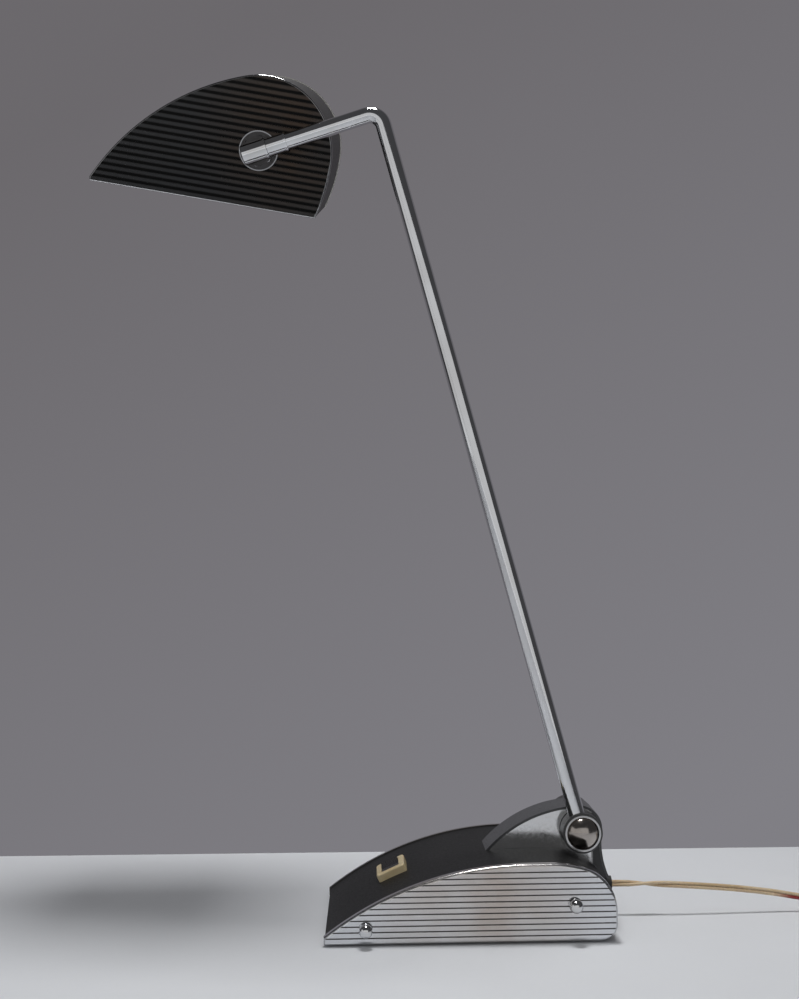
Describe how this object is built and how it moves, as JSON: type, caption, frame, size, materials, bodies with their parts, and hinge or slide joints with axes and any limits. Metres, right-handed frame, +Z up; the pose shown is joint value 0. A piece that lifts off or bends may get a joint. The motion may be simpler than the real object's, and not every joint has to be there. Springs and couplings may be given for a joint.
{
  "type": "desk lamp",
  "caption": "Desk lamp with a wedge base, a switch on its slope, a tilting bent-tube stem and a half-round shade that swivels and tilts, on a flex with a plug.",
  "frame": {"origin": "middle of the underside of the base, on the table", "axes": "+X from the low front tip of the base to its rear, +Y from the near side plate to the far one, +Z up"},
  "size_m": [0.64, 0.1588, 0.5542],
  "materials": {
    "black_lacquer": "gloss",
    "chrome": "polished",
    "polished_plate": "polished",
    "steel": "satin",
    "ballast_iron": "rough",
    "felt": "matte",
    "ivory_plastic": "gloss",
    "black_plastic": "gloss",
    "brass": "satin",
    "opal_glass": "gloss",
    "cord_cover": "satin",
    "black_rubber": "matte"
  },
  "bodies": {
    "base": {"base_skin": "black_lacquer", "bracket_strap": "black_lacquer", "near_side_plate": "chrome", "far_side_plate": "chrome", "near_bracket_cheek": "chrome", "far_bracket_cheek": "chrome", "near_ball_nuts": "chrome", "far_ball_nuts": "chrome", "base_plate": "steel", "base_screws": "steel", "tie_rods": "steel", "bracket_block": "steel", "bracket_screws": "steel", "friction_washers": "steel", "ballast_block": "ballast_iron", "felt_pad": "felt", "switch_bezel": "ivory_plastic", "switch_body": "black_plastic", "terminal_block": "black_plastic", "cord_clamp": "black_plastic", "plug_body": "black_plastic", "plug_pins": "brass", "cord_lead": "cord_cover", "cord_coil": "cord_cover", "cord_tail": "cord_cover", "cord_grommet": "black_rubber", "coil_tie": "black_rubber"},
    "rocker": {"switch_rocker": "black_plastic"},
    "stem": {"hinge_axle": "steel", "hinge_hub": "black_lacquer", "far_barrel_cap": "black_lacquer", "near_cap_ring": "chrome", "far_cap_ring": "chrome", "near_dome_nut": "chrome", "far_dome_nut": "chrome", "stem_tube": "chrome", "stem_wire": "cord_cover", "swivel_ferrule": "chrome"},
    "head": {"swivel_boss": "chrome", "pivot_nipple": "steel", "pivot_nut": "chrome", "pivot_washer": "chrome", "spring_washer": "steel", "lamp_holder": "black_plastic", "holder_liner": "brass", "holder_contact": "brass", "holder_ring": "black_plastic", "bulb_cap": "brass", "bulb_glass": "opal_glass"},
    "shade": {"near_shade_plate": "polished_plate", "far_shade_plate": "polished_plate", "shade_skin": "black_lacquer"}
  },
  "joints": [
    {"name": "stem_tilt", "type": "hinge", "parent": "base", "child": "stem", "pos_m": [0.0701, 0, 0.056], "axis": [0, 1, 0], "range_deg": [-20, 30]},
    {"name": "head_swivel", "type": "hinge", "parent": "stem", "child": "head", "pos_m": [-0.12538, -0.00701, 0.47687], "axis": [-0.9543, 0.1511, -0.258], "range_deg": [-60, 60]},
    {"name": "shade_tilt", "type": "hinge", "parent": "head", "child": "shade", "pos_m": [-0.12538, -0.00701, 0.47687], "axis": [0.052, 0.9335, 0.3547], "range_deg": [-60, 45]},
    {"name": "switch_rock", "type": "hinge", "parent": "base", "child": "rocker", "pos_m": [-0.0444, 0, 0.02968], "axis": [0.9179, 0, 0.3969], "range_deg": [-16, 0]}
  ]
}
